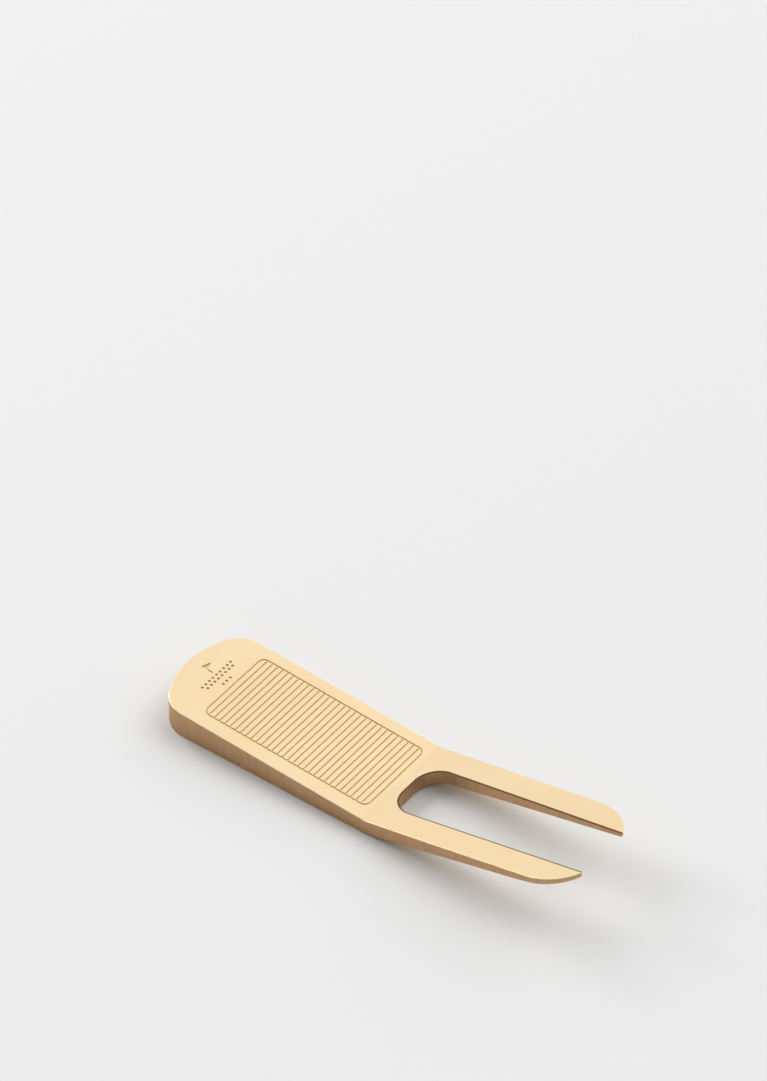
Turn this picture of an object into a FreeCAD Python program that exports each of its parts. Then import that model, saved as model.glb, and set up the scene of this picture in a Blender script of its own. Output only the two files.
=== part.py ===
import FreeCAD, Part
import math
import os

import Sketcher
from FreeCAD import Rotation, Vector

# A divot repair tool milled and bent from one bar of brass.
# X runs along the tool towards the prong tips, Y across it and Z up.
# The tool is drawn from the bend, where the handle meets the fork, with the
# handle's flat underside on Z = 0. The body is then placed so that the origin
# is below the middle of the tool's length.

DIMENSIONS = [
    # alias, value in millimetres unless the note says otherwise, note
    ("handle_length", 41.0, "round end to the bend"),
    ("fork_reach", 38.0, "bend to the prong tips, measured along X"),
    ("handle_width", 20.0, "over the parallel sides"),
    ("end_height", 5.1, "thickness at the round end"),
    ("bend_height", 2.71, "height where the top lines of handle and fork cross"),
    ("bend_top_x", 0.35, "place of that crossing"),
    ("bend_under_x", 0.6, "place where the underside turns up"),
    ("tip_top", 10.5, "height of the prong tips"),
    ("tip_under", 9.68, "height of the underside at the prong tips"),
    ("bend_top_radius", 5.0, "inside of the bend"),
    ("bend_under_radius", 15.0, "outside of the bend"),
    ("end_radius", 16.0, "flat arc across the round end"),
    ("corner_radius", 5.2, "corners of the round end"),
    ("tip_width", 19.5, "over the prongs where their tips start to curve"),
    ("tip_start", 31.0, "place where the tips start to curve"),
    ("tip_radius", 8.1, "outer curve of each prong tip"),
    ("tip_nose", 0.25, "rounding of the two small corners at each tip"),
    ("slot_root_x", 1.9, "closed end of the slot"),
    ("slot_root_width", 10.7, "slot width where its corners end"),
    ("slot_tip_width", 10.0, "slot width at the tips"),
    ("slot_radius", 3.9, "corners of the slot's closed end"),
    ("edge_chamfer", 0.08, "all round the top and the underside"),
    ("blank_margin", 2.0, "bar left over outside the outline"),
    ("engraving_depth", 0.18, "of the lines and of the mark"),
    ("engraving_offset", 0.24, "panel and mark, off the middle of the handle"),
    ("line_width", 0.26, "of every engraved line"),
    ("panel_start", 8.6, "round end to the panel's border"),
    ("panel_length", 31.5, "between the border's centre lines"),
    ("panel_width", 15.1, "between the border's centre lines"),
    ("panel_radius", 1.15, "corners of the border's centre line"),
    ("groove_count", 30, "a number: grooves inside the border"),
    ("groove_setback", 0.35, "gap at both ends of the first and last groove"),
    ("mark_dot", 0.5, "diameter of the mark's small dimples"),
    ("mark_pitch", 0.9, "dimple spacing across the handle"),
    ("mark_row_x", 5.25, "round end to the first row of dimples"),
    ("mark_row_pitch", 0.75, "between rows"),
    ("mark_count", 9, "a number: dimples in the longest row"),
    ("mark_foot_x", 7.3, "round end to the short row below"),
    ("mark_foot_count", 3, "a number: dimples in the short row"),
    ("flag_base_x", 4.55, "round end to the foot of the flag pole"),
    ("flag_height", 2.2, "flag pole"),
    ("flag_length", 1.45, "flag, from the pole to its point"),
    ("flag_drop", 1.15, "flag along the pole"),
    ("pole_width", 0.26, "flag pole"),
]
NODE = "tool_body"
TOP_NORMAL_LIMIT = 0.8   # a face with a steeper normal than this is a top or an underside
NO_LENGTH = 1e-6         # an edge shorter than this along an axis runs square to it
SAME_PLACE = 0.01        # points closer than this are one point
LEAST_CHANGE = 0.01      # cubic millimetres that a fillet or chamfer must take or add

doc = FreeCAD.newDocument("divot_tool")
sheet = doc.addObject("Spreadsheet::Sheet", "sheet")
dim = {}
for row, (alias, value, note) in enumerate(DIMENSIONS, start=1):
    sheet.set(f"A{row}", alias)
    sheet.set(f"B{row}", str(value))
    sheet.setAlias(f"B{row}", alias)
    sheet.set(f"C{row}", note)
    dim[alias] = value
doc.recompute()

body = doc.addObject("PartDesign::Body", "ToolBody")
body.Label = NODE

START, END, CENTRE = 1, 2, 3   # the points of a sketch element
ROOT = (-1, 1)                 # the sketch's origin
H_AXIS, V_AXIS = -1, -2
UP = Vector(0, 0, 1)


def new_sketch(name, role):
    """A sketch on one of the body's own origin planes."""
    sketch = body.newObject("Sketcher::SketchObject", name)
    plane = [f for f in body.Origin.OriginFeatures if f.Role == role][0]
    sketch.AttachmentSupport = [(plane, "")]
    sketch.MapMode = "FlatFace"
    return sketch


def relate(sketch, kind, *where):
    """A constraint without a size."""
    sketch.addConstraint(Sketcher.Constraint(kind, *where))


def bind(sketch, kind, where, value, expression):
    """A constraint whose size comes from the sheet."""
    index = sketch.addConstraint(Sketcher.Constraint(kind, *where, value))
    sketch.setExpression(f"Constraints[{index}]", expression)


def bind_radius(sketch, element, expression):
    bind(sketch, "Radius", (element,), sketch.Geometry[element].Radius, expression)


def bind_x(sketch, element, point, distance):
    """Distance of a point from the vertical axis, on the side where it was drawn."""
    x = sketch.getPoint(element, point).x
    where = ROOT + (element, point) if x >= 0 else (element, point) + ROOT
    bind(sketch, "DistanceX", where, abs(x), distance)


def bind_y(sketch, element, point, distance):
    """Distance of a point from the horizontal axis, on the side where it was drawn."""
    y = sketch.getPoint(element, point).y
    where = ROOT + (element, point) if y >= 0 else (element, point) + ROOT
    bind(sketch, "DistanceY", where, abs(y), distance)


def add_line(sketch, first, last):
    return sketch.addGeometry(Part.LineSegment(Vector(*first, 0), Vector(*last, 0)))


def add_arc(sketch, centre, radius, first_deg, last_deg):
    circle = Part.Circle(Vector(*centre, 0), UP, radius)
    arc = Part.ArcOfCircle(circle, math.radians(first_deg), math.radians(last_deg))
    return sketch.addGeometry(arc)


def add_polygon(sketch, corners):
    """A closed run of lines joined at their ends; returns the lines."""
    following = corners[1:] + corners[:1]
    lines = [add_line(sketch, a, b) for a, b in zip(corners, following)]
    for here, after in zip(lines, lines[1:] + lines[:1]):
        relate(sketch, "Coincident", here, END, after, START)
    return lines


def add_rectangle(sketch, low, high):
    """Bottom, right, top and left lines of an upright rectangle."""
    corners = [low, (high[0], low[1]), high, (low[0], high[1])]
    lines = add_polygon(sketch, corners)
    for line, kind in zip(lines, ("Horizontal", "Vertical") * 2):
        relate(sketch, kind, line)
    return lines


def cut(name, sketch, depth=None):
    """A pocket, to a depth from the sheet or through everything both ways."""
    before = body.Tip.Shape.Volume
    pocket = body.newObject("PartDesign::Pocket", name)
    pocket.Profile = sketch
    if depth:
        pocket.Type = "Length"
        pocket.setExpression("Length", depth)
    else:
        pocket.Type = "ThroughAll"
        pocket.Midplane = True
    sketch.Visibility = False
    doc.recompute()
    report_volume(name, before, pocket.Shape.Volume)
    return pocket


def report_volume(name, before, after):
    """Prints what a feature did, and stops if it did nothing."""
    print(f"{name}: {before:.2f} -> {after:.2f} mm3")
    if abs(after - before) < LEAST_CHANGE:
        raise RuntimeError(f"{name} changed nothing")


def dress(kind, name, edges, size_property, expression):
    """A fillet or chamfer on named edges of the latest feature."""
    base = body.Tip
    feature = body.newObject(f"PartDesign::{kind}", name)
    feature.Base = (base, edges)
    feature.setExpression(size_property, expression)
    doc.recompute()
    report_volume(name, base.Shape.Volume, feature.Shape.Volume)
    return feature


# ---- side view: a wedge-shaped handle and a fork that thins towards its tips
side = new_sketch("SideProfile", "XZ_Plane")
corners = [
    (-dim["handle_length"], 0.0),
    (dim["bend_under_x"], 0.0),
    (dim["fork_reach"], dim["tip_under"]),
    (dim["fork_reach"], dim["tip_top"]),
    (dim["bend_top_x"], dim["bend_height"]),
    (-dim["handle_length"], dim["end_height"]),
]
floor, fork_under, tip_face, fork_top, handle_top, end_face = add_polygon(side, corners)
relate(side, "Horizontal", floor)
relate(side, "PointOnObject", floor, START, H_AXIS)
relate(side, "Vertical", tip_face)
relate(side, "Vertical", end_face)
bind_x(side, floor, START, "sheet.handle_length")
bind_x(side, floor, END, "sheet.bend_under_x")
bind_x(side, tip_face, START, "sheet.fork_reach")
bind_y(side, tip_face, START, "sheet.tip_under")
bind_y(side, tip_face, END, "sheet.tip_top")
bind_x(side, handle_top, START, "sheet.bend_top_x")
bind_y(side, handle_top, START, "sheet.bend_height")
bind_y(side, end_face, START, "sheet.end_height")

blank = body.newObject("PartDesign::Pad", "BentBar")
blank.Profile = side
blank.Midplane = True
blank.setExpression("Length", "sheet.handle_width + 2 * sheet.blank_margin")
side.Visibility = False
doc.recompute()


def edges_across(shape, x, z):
    """The edge that runs across the tool through a point of the side view."""
    names = []
    for number, edge in enumerate(shape.Edges, start=1):
        box = edge.BoundBox
        across = box.XLength < NO_LENGTH and box.ZLength < NO_LENGTH
        if across and abs(box.XMin - x) < SAME_PLACE and abs(box.ZMin - z) < SAME_PLACE:
            names.append(f"Edge{number}")
    return names


dress("Fillet", "InsideBend", edges_across(blank.Shape, dim["bend_top_x"], dim["bend_height"]),
      "Radius", "sheet.bend_top_radius")
dress("Fillet", "OutsideBend", edges_across(body.Tip.Shape, dim["bend_under_x"], 0.0),
      "Radius", "sheet.bend_under_radius")

# ---- plan view: everything outside the outline is cut away
half_width = dim["handle_width"] / 2
half_tip_width = dim["tip_width"] / 2
margin = dim["blank_margin"]
end_centre_x = dim["end_radius"] - dim["handle_length"]
corner_y = half_width - dim["corner_radius"]
corner_reach = dim["end_radius"] - dim["corner_radius"]
corner_x = end_centre_x - math.sqrt(corner_reach ** 2 - corner_y ** 2)
corner_deg = math.degrees(math.asin(corner_y / corner_reach))
tip_deg = math.degrees(math.acos((dim["fork_reach"] - dim["tip_start"]) / dim["tip_radius"]))
narrowing = half_width - half_tip_width
sweep_radius = (dim["tip_start"] ** 2 + narrowing ** 2) / (2 * narrowing)
sweep_deg = math.degrees(math.asin(dim["tip_start"] / sweep_radius))

outline = new_sketch("Outline", "XY_Plane")
end_arc = add_arc(outline, (end_centre_x, 0), dim["end_radius"], 180 - corner_deg, 180 + corner_deg)
relate(outline, "PointOnObject", end_arc, CENTRE, H_AXIS)
bind_radius(outline, end_arc, "sheet.end_radius")
bind_x(outline, end_arc, CENTRE, "sheet.handle_length - sheet.end_radius")
nose_y = half_tip_width - dim["tip_radius"] * (1 - math.sin(math.radians(tip_deg)))
nose = add_line(outline, (dim["fork_reach"], -nose_y), (dim["fork_reach"], nose_y))
relate(outline, "Vertical", nose)
bind_x(outline, nose, START, "sheet.fork_reach")
for lead, trail, hand in ((START, END, 1), (END, START, -1)):
    # hand 1 is the +Y side, where arcs start at the point nearer the tips
    corner_angles = sorted((hand * 90, hand * (180 - corner_deg)))
    corner = add_arc(outline, (corner_x, hand * corner_y), dim["corner_radius"], *corner_angles)
    flank = add_line(outline, (corner_x, hand * half_width), (0, hand * half_width))
    prong_angles = sorted((hand * (90 - sweep_deg), hand * 90))
    prong = add_arc(outline, (0, hand * (half_width - sweep_radius)), sweep_radius, *prong_angles)
    tip_angles = sorted((hand * tip_deg, hand * 90))
    tip = add_arc(outline, (dim["tip_start"], hand * (half_tip_width - dim["tip_radius"])),
                  dim["tip_radius"], *tip_angles)
    relate(outline, "Tangent", end_arc, lead, corner, trail)
    relate(outline, "Tangent", corner, lead, flank, START)
    relate(outline, "Horizontal", flank)
    relate(outline, "Tangent", flank, END, prong, trail)
    relate(outline, "PointOnObject", flank, END, V_AXIS)
    relate(outline, "Tangent", prong, lead, tip, trail)
    relate(outline, "Coincident", tip, lead, nose, END if hand > 0 else START)
    bind_radius(outline, corner, "sheet.corner_radius")
    bind_y(outline, flank, END, "sheet.handle_width / 2")
    bind_x(outline, prong, lead, "sheet.tip_start")
    bind_y(outline, prong, lead, "sheet.tip_width / 2")
    bind_radius(outline, tip, "sheet.tip_radius")
outside = add_rectangle(outline, (-dim["handle_length"] - margin, -half_width - 2 * margin),
                        (dim["fork_reach"] + margin, half_width + 2 * margin))
bind_x(outline, outside[0], START, "sheet.handle_length + sheet.blank_margin")
bind_y(outline, outside[0], START, "sheet.handle_width / 2 + 2 * sheet.blank_margin")
bind_x(outline, outside[2], START, "sheet.fork_reach + sheet.blank_margin")
bind_y(outline, outside[2], START, "sheet.handle_width / 2 + 2 * sheet.blank_margin")
cut("OutlineCut", outline)

# ---- the slot between the prongs, open at the tips
half_root = dim["slot_root_width"] / 2
half_mouth = dim["slot_tip_width"] / 2
mouth_x = dim["fork_reach"] + margin
slot_corner_x = dim["slot_root_x"] + dim["slot_radius"]
slot_corner_y = half_root - dim["slot_radius"]

slot = new_sketch("Slot", "XY_Plane")
root = add_line(slot, (dim["slot_root_x"], -slot_corner_y), (dim["slot_root_x"], slot_corner_y))
mouth = add_line(slot, (mouth_x, -half_mouth), (mouth_x, half_mouth))
relate(slot, "Vertical", root)
relate(slot, "Vertical", mouth)
bind_x(slot, root, START, "sheet.slot_root_x")
bind_x(slot, mouth, START, "sheet.fork_reach + sheet.blank_margin")
for hand in (-1, 1):
    line_end = END if hand > 0 else START
    arc_first, arc_last = (START, END) if hand > 0 else (END, START)
    angles = (90, 180) if hand > 0 else (180, 270)
    curve = add_arc(slot, (slot_corner_x, hand * slot_corner_y), dim["slot_radius"], *angles)
    wall = add_line(slot, (slot_corner_x, hand * half_root), (mouth_x, hand * half_mouth))
    relate(slot, "Tangent", root, line_end, curve, arc_last)
    relate(slot, "Tangent", curve, arc_first, wall, START)
    relate(slot, "Coincident", wall, END, mouth, line_end)
    bind_radius(slot, curve, "sheet.slot_radius")
    bind_y(slot, wall, START, "sheet.slot_root_width / 2")
    bind_y(slot, mouth, line_end, "sheet.slot_tip_width / 2")
cut("SlotCut", slot)


def tip_corners(shape):
    """The upright edges at the flat nose of each prong."""
    names = []
    for number, edge in enumerate(shape.Edges, start=1):
        box = edge.BoundBox
        upright = box.XLength < NO_LENGTH and box.YLength < NO_LENGTH
        if upright and abs(box.XMin - dim["fork_reach"]) < SAME_PLACE:
            names.append(f"Edge{number}")
    return names


def rim_edges(shape):
    """Edges where the top or the underside meets an upright wall."""
    names = []
    for number, edge in enumerate(shape.Edges, start=1):
        middle = edge.valueAt((edge.FirstParameter + edge.LastParameter) / 2)
        steepness = []
        for face in shape.ancestorsOfType(edge, Part.Face):
            u, v = face.Surface.parameter(middle)
            steepness.append(abs(face.normalAt(u, v).z))
        if max(steepness) > TOP_NORMAL_LIMIT and min(steepness) < 1 - TOP_NORMAL_LIMIT:
            names.append(f"Edge{number}")
    return names


dress("Fillet", "TipNoses", tip_corners(body.Tip.Shape), "Radius", "sheet.tip_nose")
dress("Chamfer", "EdgeBreak", rim_edges(body.Tip.Shape), "Size", "sheet.edge_chamfer")

# ---- engraving, drawn on the sloping top of the handle
SLOPE = "atan((sheet.end_height - sheet.bend_height) / (sheet.handle_length + sheet.bend_top_x))"


def new_top_sketch(name):
    """A sketch on the handle's top: X from the round end, Y from the engraving's middle line."""
    sketch = new_sketch(name, "XY_Plane")
    sketch.AttachmentOffset = FreeCAD.Placement(Vector(0, 0, 0), Rotation(Vector(0, 1, 0), 1.0))
    sketch.setExpression("AttachmentOffset.Base.x", "-sheet.handle_length")
    sketch.setExpression("AttachmentOffset.Base.y", "sheet.engraving_offset")
    sketch.setExpression("AttachmentOffset.Base.z", "sheet.end_height")
    sketch.setExpression("AttachmentOffset.Rotation.Angle", SLOPE)
    return sketch


def add_round_rectangle(sketch, grow, grow_text):
    """A rounded rectangle outside the border's centre line by grow."""
    left = dim["panel_start"] - grow
    right = dim["panel_start"] + dim["panel_length"] + grow
    top = dim["panel_width"] / 2 + grow
    radius = dim["panel_radius"] + grow
    lines = [
        add_line(sketch, (left + radius, -top), (right - radius, -top)),
        add_line(sketch, (right, -top + radius), (right, top - radius)),
        add_line(sketch, (right - radius, top), (left + radius, top)),
        add_line(sketch, (left, top - radius), (left, -top + radius)),
    ]
    arcs = [
        add_arc(sketch, (right - radius, -top + radius), radius, -90, 0),
        add_arc(sketch, (right - radius, top - radius), radius, 0, 90),
        add_arc(sketch, (left + radius, top - radius), radius, 90, 180),
        add_arc(sketch, (left + radius, -top + radius), radius, 180, 270),
    ]
    for number, arc in enumerate(arcs):
        relate(sketch, "Tangent", lines[number], END, arc, START)
        relate(sketch, "Tangent", arc, END, lines[(number + 1) % 4], START)
        bind_radius(sketch, arc, f"sheet.panel_radius + {grow_text}")
    for line, kind in zip(lines, ("Horizontal", "Vertical") * 2):
        relate(sketch, kind, line)
    bind_y(sketch, lines[0], START, f"sheet.panel_width / 2 + {grow_text}")
    bind_y(sketch, lines[2], START, f"sheet.panel_width / 2 + {grow_text}")
    bind_x(sketch, lines[3], START, f"sheet.panel_start - ({grow_text})")
    bind_x(sketch, lines[1], START, f"sheet.panel_start + sheet.panel_length + {grow_text}")


half_line = dim["line_width"] / 2
border = new_top_sketch("PanelBorder")
add_round_rectangle(border, half_line, "sheet.line_width / 2")
add_round_rectangle(border, -half_line, "-sheet.line_width / 2")
cut("PanelBorderCut", border, "sheet.engraving_depth")

groove_pitch = dim["panel_length"] / (dim["groove_count"] + 1)
PITCH = "sheet.panel_length / (sheet.groove_count + 1)"


def cut_groove(name, place, place_text, shorter, shorter_text):
    """A straight groove across the panel, a number of pitches from its start."""
    sketch = new_top_sketch(name)
    middle = dim["panel_start"] + place * groove_pitch
    reach = dim["panel_width"] / 2 - shorter
    sides = add_rectangle(sketch, (middle - half_line, -reach), (middle + half_line, reach))
    centre = f"sheet.panel_start + {place_text} * {PITCH}"
    bind_x(sketch, sides[0], START, f"{centre} - sheet.line_width / 2")
    bind_x(sketch, sides[2], START, f"{centre} + sheet.line_width / 2")
    for line in (sides[0], sides[2]):
        bind_y(sketch, line, START, f"sheet.panel_width / 2 - {shorter_text}")
    return cut(name + "Cut", sketch, "sheet.engraving_depth")


cut_groove("FirstGroove", 1, "1", dim["groove_setback"], "sheet.groove_setback")
cut_groove("LastGroove", dim["groove_count"], "sheet.groove_count",
           dim["groove_setback"], "sheet.groove_setback")
groove = cut_groove("Groove", 2, "2", 0.0, "0")
before = groove.Shape.Volume
grooves = body.newObject("PartDesign::LinearPattern", "Grooves")
grooves.Originals = [groove]
grooves.Direction = (groove.Profile[0], ["H_Axis"])
grooves.setExpression("Length", f"(sheet.groove_count - 3) * {PITCH}")
grooves.setExpression("Occurrences", "sheet.groove_count - 2")
body.Tip = grooves
doc.recompute()
report_volume("Grooves", before, grooves.Shape.Volume)

# ---- a plain mark in the space before the panel: a flag on its pole over rows of dimples
mark = new_top_sketch("Mark")


def add_dot(x, y, x_text, y_text):
    dot = mark.addGeometry(Part.Circle(Vector(x, y, 0), UP, dim["mark_dot"] / 2))
    bind_radius(mark, dot, "sheet.mark_dot / 2")
    bind_x(mark, dot, CENTRE, x_text)
    if abs(y) < NO_LENGTH:
        relate(mark, "PointOnObject", dot, CENTRE, H_AXIS)
    else:
        bind_y(mark, dot, CENTRE, y_text)


def add_dot_row(x, x_text, count):
    """A row of dimples across the handle, centred on the engraving's middle line."""
    for number in range(count):
        steps = number - (count - 1) / 2
        add_dot(x, steps * dim["mark_pitch"], x_text, f"{abs(steps)} * sheet.mark_pitch")


add_dot_row(dim["mark_row_x"], "sheet.mark_row_x", dim["mark_count"])
add_dot_row(dim["mark_row_x"] + dim["mark_row_pitch"], "sheet.mark_row_x + sheet.mark_row_pitch",
            dim["mark_count"] - 1)
add_dot_row(dim["mark_foot_x"], "sheet.mark_foot_x", dim["mark_foot_count"])

half_pole = dim["pole_width"] / 2
flag_foot = dim["flag_base_x"]
flag_top = flag_foot - dim["flag_height"]
flag_point = flag_top + dim["flag_drop"] / 2
flag_end = flag_top + dim["flag_drop"]
flag = add_polygon(mark, [(flag_foot, -half_pole), (flag_foot, half_pole), (flag_end, half_pole),
                          (flag_point, half_pole + dim["flag_length"]), (flag_top, half_pole),
                          (flag_top, -half_pole)])
relate(mark, "Vertical", flag[0])
relate(mark, "Horizontal", flag[1])
relate(mark, "Vertical", flag[4])
relate(mark, "Horizontal", flag[5])
bind_x(mark, flag[0], START, "sheet.flag_base_x")
bind_y(mark, flag[0], START, "sheet.pole_width / 2")
bind_y(mark, flag[0], END, "sheet.pole_width / 2")
bind_x(mark, flag[2], START, "sheet.flag_base_x - sheet.flag_height + sheet.flag_drop")
bind_x(mark, flag[3], START, "sheet.flag_base_x - sheet.flag_height + sheet.flag_drop / 2")
bind_y(mark, flag[3], START, "sheet.pole_width / 2 + sheet.flag_length")
bind_x(mark, flag[4], START, "sheet.flag_base_x - sheet.flag_height")
bind_y(mark, flag[4], START, "sheet.pole_width / 2")
cut("MarkCut", mark, "sheet.engraving_depth")

# ---- the origin goes below the middle of the tool's length
body.setExpression("Placement.Base.x", "(sheet.handle_length - sheet.fork_reach) / 2")
doc.recompute()

for thing in doc.Objects:
    if "Invalid" in thing.State or "Error" in thing.State:
        raise RuntimeError(f"{thing.Name} did not recompute: {thing.State}")
for sketch in (side, outline, slot, border, mark):
    print(sketch.Name, "free:", sketch.solve(), "fully constrained:", sketch.FullyConstrained)
shape = body.Shape
if shape.isNull() or not shape.isValid() or len(shape.Solids) != 1:
    raise RuntimeError("the tool is not one valid solid")
print("box", shape.BoundBox)
print("volume", round(shape.Volume, 1), "centre of mass", shape.Solids[0].CenterOfMass)

os.makedirs("parts", exist_ok=True)
shape.exportStep(f"parts/{NODE}.step")
print("wrote", NODE)
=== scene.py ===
import math

import bpy
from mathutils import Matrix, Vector


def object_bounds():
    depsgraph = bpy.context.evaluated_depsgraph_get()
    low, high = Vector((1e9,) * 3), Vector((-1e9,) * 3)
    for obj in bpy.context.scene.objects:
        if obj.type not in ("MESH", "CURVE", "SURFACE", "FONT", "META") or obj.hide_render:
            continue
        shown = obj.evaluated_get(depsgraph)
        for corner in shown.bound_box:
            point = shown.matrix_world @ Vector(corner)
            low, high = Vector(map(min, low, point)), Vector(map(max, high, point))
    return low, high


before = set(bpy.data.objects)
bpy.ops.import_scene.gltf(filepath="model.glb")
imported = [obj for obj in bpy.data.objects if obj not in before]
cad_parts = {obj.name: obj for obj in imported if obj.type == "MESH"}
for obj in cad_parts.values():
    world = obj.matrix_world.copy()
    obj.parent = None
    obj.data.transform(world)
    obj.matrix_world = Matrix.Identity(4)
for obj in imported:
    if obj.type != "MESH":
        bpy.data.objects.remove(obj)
cadLow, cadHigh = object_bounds()
scene = bpy.context.scene
scene.view_settings.view_transform = "Standard"
mm = 0.001
bpy.ops.object.select_all(action="DESELECT")

# the view: azimuth in degrees from square across the tool towards the prong tips
viewPoint = {
    "azimuth": 36.8,
    "elevation": 43.0,
    "distance": 1110 * mm,
    "lens": 338.6,
    "sensorWidth": 36.0,
    "aim": (-16.5 * mm, 19.9 * mm, 28.6 * mm),
    "clip": (0.05, 20.0),
}


def addCamera():
    turn, rise = math.radians(viewPoint["azimuth"]), math.radians(viewPoint["elevation"])
    back = Vector((math.sin(turn) * math.cos(rise), -math.cos(turn) * math.cos(rise), math.sin(rise)))
    bpy.ops.object.camera_add(location=Vector(viewPoint["aim"]) + back * viewPoint["distance"],
                              rotation=(math.pi / 2 - rise, 0, turn))
    camera = bpy.context.object
    camera.name = "productCamera"
    camera.data.sensor_fit = "HORIZONTAL"
    camera.data.sensor_width = viewPoint["sensorWidth"]
    camera.data.lens = viewPoint["lens"]
    camera.data.clip_start, camera.data.clip_end = viewPoint["clip"]
    scene.camera = camera


addCamera()
print("camera placed")

# the Mix node's two inputs and its output, by number, for each kind of value
mixSockets = {"RGBA": (6, 7, 2), "VECTOR": (4, 5, 1)}


# shader node helpers: feed links or sets one socket, the others add nodes and return an output
def feed(tree, socket, value):
    if isinstance(value, bpy.types.NodeSocket):
        tree.links.new(value, socket)
    else:
        socket.default_value = value


def compute(tree, operation, *values):
    node = tree.nodes.new("ShaderNodeMath")
    node.operation = operation
    for socket, value in zip(node.inputs, values):
        feed(tree, socket, value)
    return node.outputs["Value"]


def fade(tree, value, start, end, low=0.0, high=1.0):
    node = tree.nodes.new("ShaderNodeMapRange")
    node.interpolation_type = "SMOOTHSTEP"
    tree.links.new(value, node.inputs["Value"])
    for name, number in (("From Min", start), ("From Max", end), ("To Min", low), ("To Max", high)):
        node.inputs[name].default_value = number
    return node.outputs["Result"]


def mix(tree, kind, factor, first, second):
    node = tree.nodes.new("ShaderNodeMix")
    node.data_type = kind
    firstSocket, secondSocket, result = mixSockets[kind]
    tree.links.new(factor, node.inputs["Factor"])
    feed(tree, node.inputs[firstSocket], first)
    feed(tree, node.inputs[secondSocket], second)
    return node.outputs[result]


# how well two directions agree: 1 for the same, 0 for square to each other
def agreement(tree, first, second):
    node = tree.nodes.new("ShaderNodeVectorMath")
    node.operation = "DOT_PRODUCT"
    feed(tree, node.inputs[0], first)
    feed(tree, node.inputs[1], second)
    return node.outputs["Value"]


def noise(tree, stretch, scale, detail):
    mapping = tree.nodes.new("ShaderNodeMapping")
    mapping.inputs["Scale"].default_value = stretch
    position = tree.nodes.new("ShaderNodeTexCoord").outputs["Object"]
    tree.links.new(position, mapping.inputs["Vector"])
    texture = tree.nodes.new("ShaderNodeTexNoise")
    texture.inputs["Scale"].default_value = scale
    texture.inputs["Detail"].default_value = detail
    tree.links.new(mapping.outputs["Vector"], texture.inputs["Vector"])
    return texture.outputs["Fac"]


# X, Y and Z of the place on the piece (Object) or of the way the surface faces (Normal)
def axes(tree, coordinate):
    split = tree.nodes.new("ShaderNodeSeparateXYZ")
    tree.links.new(tree.nodes.new("ShaderNodeTexCoord").outputs[coordinate], split.inputs["Vector"])
    return split.outputs


# the studio: a pale floor under a sky of broad glows, with soft lamps
studio = {
    "floorSize": 6.0,
    "floorColour": (0.79, 0.79, 0.79, 1),
    "floorRoughness": 0.9,
    "floorSpecular": 0.2,
    "skyBase": 0.14,
    "skyColour": (1, 1, 1, 1),
    # azimuth and elevation in degrees, sharpness, strength
    "skyGlows": {
        "back": (90, 20, 2, 1.50),
        "backRight": (45, 20, 2, 0.10),
        "front": (285, 8, 5, 0.45),
    },
    # azimuth and elevation in degrees, distance and size in metres, watts
    "lamps": {
        "leftSoftbox": (180, 30, 2.6, 2.2, 56),
        "backSoftbox": (50, 55, 2.6, 2.2, 17),
    },
}


def towards(azimuth, elevation):
    turn, rise = math.radians(azimuth), math.radians(elevation)
    return Vector((math.cos(rise) * math.cos(turn), math.cos(rise) * math.sin(turn), math.sin(rise)))


def addSky():
    sky = bpy.data.worlds.new("studioSky")
    scene.world = sky
    sky.use_nodes = True
    tree = sky.node_tree
    direction = tree.nodes.new("ShaderNodeTexCoord").outputs["Generated"]
    total = studio["skyBase"]
    for azimuth, elevation, sharpness, strength in studio["skyGlows"].values():
        ahead = compute(tree, "MAXIMUM", agreement(tree, direction, towards(azimuth, elevation)), 0.0)
        falloff = compute(tree, "POWER", ahead, sharpness)
        total = compute(tree, "MULTIPLY_ADD", falloff, strength, total)
    tree.nodes["Background"].inputs["Color"].default_value = studio["skyColour"]
    tree.links.new(total, tree.nodes["Background"].inputs["Strength"])


def addFloor():
    bpy.ops.mesh.primitive_plane_add(size=studio["floorSize"])
    floor = bpy.context.object
    floor.name = "floor"
    paint = bpy.data.materials.new("floorPaint")
    paint.use_nodes = True
    shader = paint.node_tree.nodes["Principled BSDF"]
    shader.inputs["Base Color"].default_value = studio["floorColour"]
    shader.inputs["Roughness"].default_value = studio["floorRoughness"]
    shader.inputs["Specular IOR Level"].default_value = studio["floorSpecular"]
    floor.data.materials.append(paint)


def addLamps():
    for name, (azimuth, elevation, distance, size, watts) in studio["lamps"].items():
        outwards = towards(azimuth, elevation)
        bpy.ops.object.light_add(type="AREA", location=outwards * distance,
                                 rotation=outwards.to_track_quat("Z", "Y").to_euler())
        lamp = bpy.context.object
        lamp.name = name
        lamp.data.shape = "DISK"
        lamp.data.size = size
        lamp.data.energy = watts


addSky()
addFloor()
addLamps()
print("studio lit")


# a node group with outputs only
def newGroup(name, **outputs):
    group = bpy.data.node_groups.new(name, "ShaderNodeTree")
    for output, kind in outputs.items():
        group.interface.new_socket(output, in_out="OUTPUT", socket_type="NodeSocket" + kind)
    return group, group.nodes.new("NodeGroupOutput").inputs


def useGroup(tree, group):
    node = tree.nodes.new("ShaderNodeGroup")
    node.node_tree = group
    return node.outputs


# the engraving: cut lines just under the handle's top, whose height and fall are those of the design
engraving = {
    "endHeight": 5.1 * mm,
    "fall": 0.05778,
    "middle": 0.24 * mm,
    "shallow": (0.01 * mm, 0.04 * mm),
    "deep": (0.28 * mm, 0.36 * mm),
    "panelFrom": -31.3 * mm,
    "panelTo": 1.1 * mm,
    "panelHalfWidth": 7.9 * mm,
    "markFrom": -37.6 * mm,
    "markHalfWidth": 4.5 * mm,
}


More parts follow.
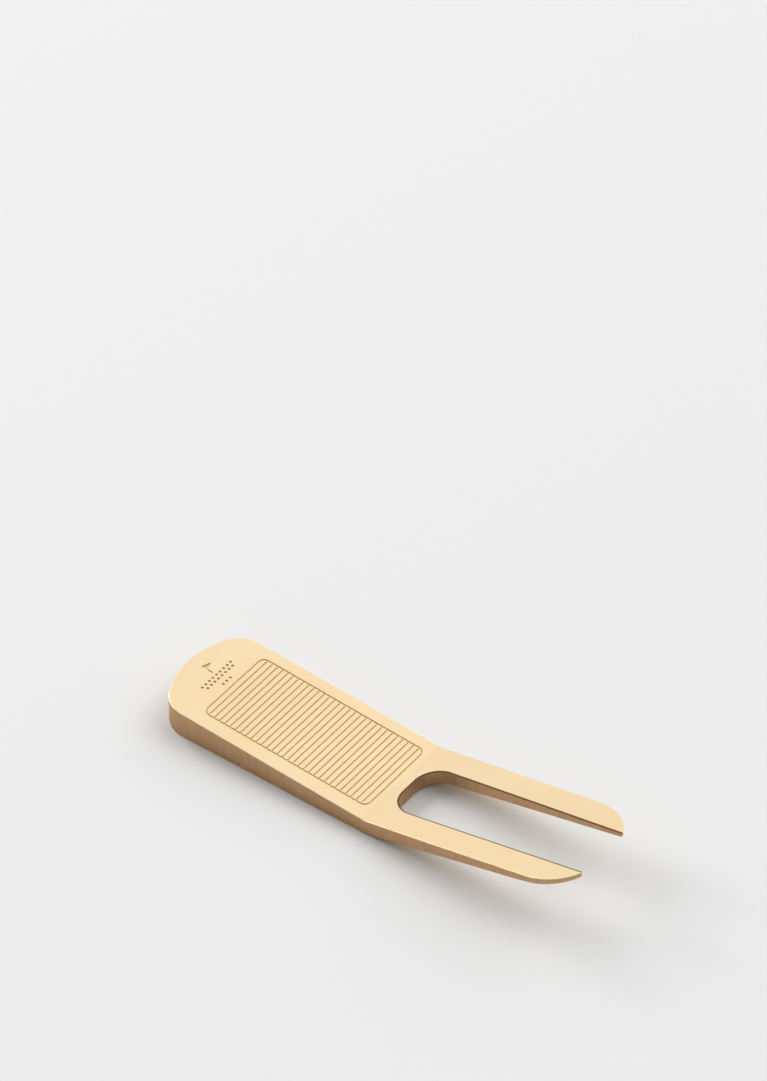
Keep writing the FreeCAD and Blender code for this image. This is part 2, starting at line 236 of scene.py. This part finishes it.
def makeEngravingGroup():
    group, result = newGroup("engravedLines", Mask="Float", Area="Float")
    place = axes(group, "Object")
    alongHandle = compute(group, "SUBTRACT", place["X"], cadLow[0])
    topHeight = compute(group, "MULTIPLY_ADD", alongHandle, -engraving["fall"], engraving["endHeight"])
    depth = compute(group, "SUBTRACT", topHeight, place["Z"])
    band = compute(group, "MULTIPLY", fade(group, depth, *engraving["shallow"]),
                   fade(group, depth, *engraving["deep"], 1.0, 0.0))
    across = compute(group, "ABSOLUTE", compute(group, "SUBTRACT", place["Y"], engraving["middle"]))
    panel = compute(group, "MULTIPLY", compute(group, "GREATER_THAN", place["X"], engraving["panelFrom"]),
                    compute(group, "LESS_THAN", across, engraving["panelHalfWidth"]))
    mark = compute(group, "MULTIPLY", compute(group, "GREATER_THAN", place["X"], engraving["markFrom"]),
                   compute(group, "LESS_THAN", across, engraving["markHalfWidth"]))
    area = compute(group, "MULTIPLY", compute(group, "MAXIMUM", panel, mark),
                   compute(group, "LESS_THAN", place["X"], engraving["panelTo"]))
    group.links.new(compute(group, "MULTIPLY", band, area), result["Mask"])
    group.links.new(area, result["Area"])
    return group


# the cut walls, told by how steeply they face, with faint upright streaks
walls = {
    "facing": (0.35, 0.6),
    "streakStretch": (1, 1, 0.12),
    "streakScale": 1300,
    "streakDetail": 3,
    "streakFade": (0.3, 0.7),
}


def makeWallGroup():
    group, result = newGroup("cutWalls", Mask="Float", Streaks="Float")
    flatness = compute(group, "ABSOLUTE", axes(group, "Normal")["Z"])
    group.links.new(fade(group, flatness, *walls["facing"], 1.0, 0.0), result["Mask"])
    streaks = noise(group, walls["streakStretch"], walls["streakScale"], walls["streakDetail"])
    group.links.new(fade(group, streaks, *walls["streakFade"]), result["Streaks"])
    return group


# the rims: softened edges carrying a painted dark reflection, with a painted dark line round the slot
# between the prongs
rims = {
    "radius": 0.14 * mm,
    "samples": 8,
    "turned": (0.80, 0.99),
    "outerShare": 0.3,
    "slotRoot": 3.4 * mm,
    "slotCorner": 3.9 * mm,
    "slotHalfWidth": 5.36 * mm,
    "slotNarrowing": 0.0096,
    "areaFrom": 2.6 * mm,
    "areaHalfWidth": 6.0 * mm,
    "lineFade": (0.20 * mm, 0.36 * mm),
    "topFacing": (0.5, 0.6),
}


# distance outwards from the slot's edge, in plan
def distanceFromSlot(tree, along, across):
    halfWidth = compute(tree, "MULTIPLY_ADD", compute(tree, "SUBTRACT", along, rims["slotRoot"]),
                        -rims["slotNarrowing"], rims["slotHalfWidth"])
    beforeCorner = compute(tree, "SUBTRACT", rims["slotRoot"] + rims["slotCorner"], along)
    besideCorner = compute(tree, "ADD", compute(tree, "SUBTRACT", across, halfWidth), rims["slotCorner"])
    squares = [compute(tree, "POWER", compute(tree, "MAXIMUM", reach, 0.0), 2.0)
               for reach in (beforeCorner, besideCorner)]
    return compute(tree, "SUBTRACT", compute(tree, "SQRT", compute(tree, "ADD", *squares)),
                   rims["slotCorner"])


def makeRimGroup():
    group, result = newGroup("paintedRimReflections", Mask="Float", Edge="Float", Normal="Vector")
    rounded = group.nodes.new("ShaderNodeBevel")
    rounded.samples = rims["samples"]
    rounded.inputs["Radius"].default_value = rims["radius"]
    surface = group.nodes.new("ShaderNodeNewGeometry").outputs["Normal"]
    edge = fade(group, agreement(group, rounded.outputs["Normal"], surface), *rims["turned"], 1.0, 0.0)
    place = axes(group, "Object")
    across = compute(group, "ABSOLUTE", place["Y"])
    slotArea = compute(group, "MULTIPLY", compute(group, "GREATER_THAN", place["X"], rims["areaFrom"]),
                       compute(group, "LESS_THAN", across, rims["areaHalfWidth"]))
    line = fade(group, distanceFromSlot(group, place["X"], across), *rims["lineFade"], 1.0, 0.0)
    top = fade(group, axes(group, "Normal")["Z"], *rims["topFacing"])
    slotLine = compute(group, "MULTIPLY", line, compute(group, "MULTIPLY", slotArea, top))
    share = fade(group, slotArea, 0.0, 1.0, rims["outerShare"], 1.0)
    # painted dark reflection along the edges, weaker on the outer edges than round the slot
    edgeReflection = compute(group, "MULTIPLY", edge, share)
    group.links.new(compute(group, "MAXIMUM", edgeReflection, slotLine), result["Mask"])
    group.links.new(edge, result["Edge"])
    group.links.new(rounded.outputs["Normal"], result["Normal"])
    return group


# the satin grain, and broad soft patches of warmer brass
grain = {
    "stretch": (1, 1, 1),
    "fineScale": 3200,
    "fineDetail": 3,
    "broadScale": 90,
    "broadDetail": 2,
    "broadFade": (0.35, 0.65),
    "relief": 0.004 * mm,
}


def makeGrainGroup():
    group, result = newGroup("satinGrain", Fine="Float", Broad="Float")
    group.links.new(noise(group, grain["stretch"], grain["fineScale"], grain["fineDetail"]), result["Fine"])
    broad = noise(group, grain["stretch"], grain["broadScale"], grain["broadDetail"])
    group.links.new(fade(group, broad, *grain["broadFade"]), result["Broad"])
    return group


# satin brass: pale on the broad faces, browner on the cut walls (their as-cut finish and painted shade),
# painted shade in the engraved grooves, painted dark reflection on the rims
brass = {
    "face": (0.865, 0.685, 0.43, 1),
    "faceWarm": (0.85, 0.62, 0.35, 1),
    "warmShare": 0.35,
    # the wall colours: the as-cut finish, redder than the faces, darkened further as painted shade on the
    # sides
    "wall": (0.53, 0.32, 0.165, 1),
    "wallPale": (0.64, 0.42, 0.24, 1),
    "paleShare": 0.35,
    # the rim colour: a painted dark reflection on the chamfers and round the slot
    "darkRimReflection": (0.13, 0.065, 0.03, 1),
    # painted shade in the engraved grooves and the mark's dimples, with little metal so the painted colour
    # shows
    "engraved": (0.77, 0.57, 0.24, 1),
    "engravedMetal": 0.15,
    "faceRoughness": 0.33,
    "wallRoughness": 0.42,
    "rimRoughening": 0.30,
    "grainRoughening": (0.08, -0.04),
}


def mixBrassColour(tree, lines, cutWalls, edges, satin):
    warm = compute(tree, "MULTIPLY", satin["Broad"], brass["warmShare"])
    face = mix(tree, "RGBA", warm, brass["face"], brass["faceWarm"])
    pale = compute(tree, "MULTIPLY", cutWalls["Streaks"], brass["paleShare"])
    # the walls' colour is partly their as-cut finish and partly painted shade
    wall = mix(tree, "RGBA", pale, brass["wall"], brass["wallPale"])
    plain = mix(tree, "RGBA", cutWalls["Mask"], face, wall)
    # painted shade laid into the engraved grooves
    engraved = mix(tree, "RGBA", lines["Mask"], plain, brass["engraved"])
    # painted dark reflection on the rims, kept out of the engraved panel
    openRim = compute(tree, "MULTIPLY", edges["Mask"], compute(tree, "SUBTRACT", 1.0, lines["Area"]))
    return mix(tree, "RGBA", openRim, engraved, brass["darkRimReflection"])


def addUpRoughness(tree, cutWalls, edges, satin):
    bySurface = compute(tree, "MULTIPLY_ADD", cutWalls["Mask"],
                        brass["wallRoughness"] - brass["faceRoughness"], brass["faceRoughness"])
    withRims = compute(tree, "MULTIPLY_ADD", edges["Edge"], brass["rimRoughening"], bySurface)
    return compute(tree, "ADD", withRims,
                   compute(tree, "MULTIPLY_ADD", satin["Fine"], *brass["grainRoughening"]))


def raiseGrain(tree, lines, edges, satin):
    crisp = tree.nodes.new("ShaderNodeNewGeometry").outputs["Normal"]
    relief = tree.nodes.new("ShaderNodeBump")
    relief.inputs["Distance"].default_value = grain["relief"]
    tree.links.new(satin["Fine"], relief.inputs["Height"])
    tree.links.new(mix(tree, "VECTOR", lines["Area"], edges["Normal"], crisp), relief.inputs["Normal"])
    return relief.outputs["Normal"]


def makeBrass():
    material = bpy.data.materials.new("satinBrass")
    material.use_nodes = True
    tree = material.node_tree
    shader = tree.nodes["Principled BSDF"].inputs
    lines, cutWalls, edges, satin = (useGroup(tree, group) for group in (
        makeEngravingGroup(), makeWallGroup(), makeRimGroup(), makeGrainGroup()))
    tree.links.new(mixBrassColour(tree, lines, cutWalls, edges, satin), shader["Base Color"])
    tree.links.new(addUpRoughness(tree, cutWalls, edges, satin), shader["Roughness"])
    # the grooves lose most of their metal so their painted shade shows
    metal = fade(tree, lines["Mask"], 0.0, 1.0, 1.0, brass["engravedMetal"])
    tree.links.new(metal, shader["Metallic"])
    tree.links.new(raiseGrain(tree, lines, edges, satin), shader["Normal"])
    return material


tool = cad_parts["tool_body"]
tool.material_slots[0].material = makeBrass()
print("brass applied")
